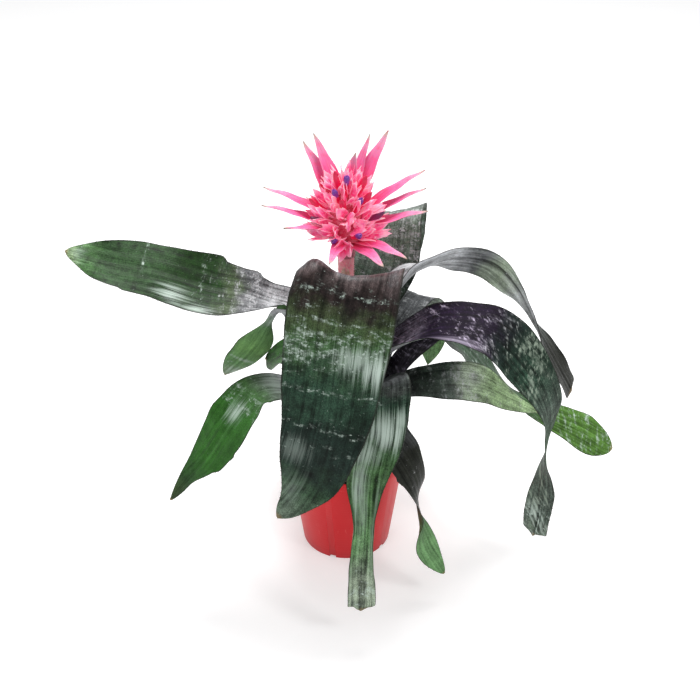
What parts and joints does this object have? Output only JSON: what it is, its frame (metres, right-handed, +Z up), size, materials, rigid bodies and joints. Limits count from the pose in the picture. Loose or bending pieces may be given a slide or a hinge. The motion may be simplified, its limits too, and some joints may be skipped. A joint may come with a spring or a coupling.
{
  "type": "potted bromeliad",
  "caption": "Potted bromeliad: silver-banded strap leaves arch out of one rosette round a spiky pink flower head, in a tapered red plastic pot that rests flat.",
  "frame": {"origin": "centre of the pot's flat base, on the surface that the pot stands on", "axes": "+Z up along the pot's axis and the flower stalk, -Y towards the plant's front, +X to the right as seen from the front"},
  "size_m": [0.5756, 0.3709, 0.4583],
  "materials": {
    "pot": "smooth semi-matt moulded plastic, red",
    "soil": "dark crumbly peat and bark potting mix",
    "stem": "pink, with a pale woolly coat",
    "bract": "satin, bright pink with violet flowers",
    "leaf": "leathery, dark green with silver cross bands"
  },
  "bodies": {
    "root": {"pot": "pot", "soil": "soil", "stem": "stem", "flower_head": "bract", "leaf_right_arch": "leaf", "leaf_front_broad": "leaf", "leaf_back_tall": "leaf", "leaf_left_long": "leaf", "leaf_right_dark": "leaf", "leaf_back_low": "leaf", "leaf_front_drape": "leaf", "leaf_left_small": "leaf", "leaf_back_right": "leaf", "leaf_left_low": "leaf", "leaf_right_green_tip": "leaf", "leaf_back_left": "leaf", "leaf_right_low": "leaf", "leaf_right_twisted": "leaf"}
  },
  "joints": []
}
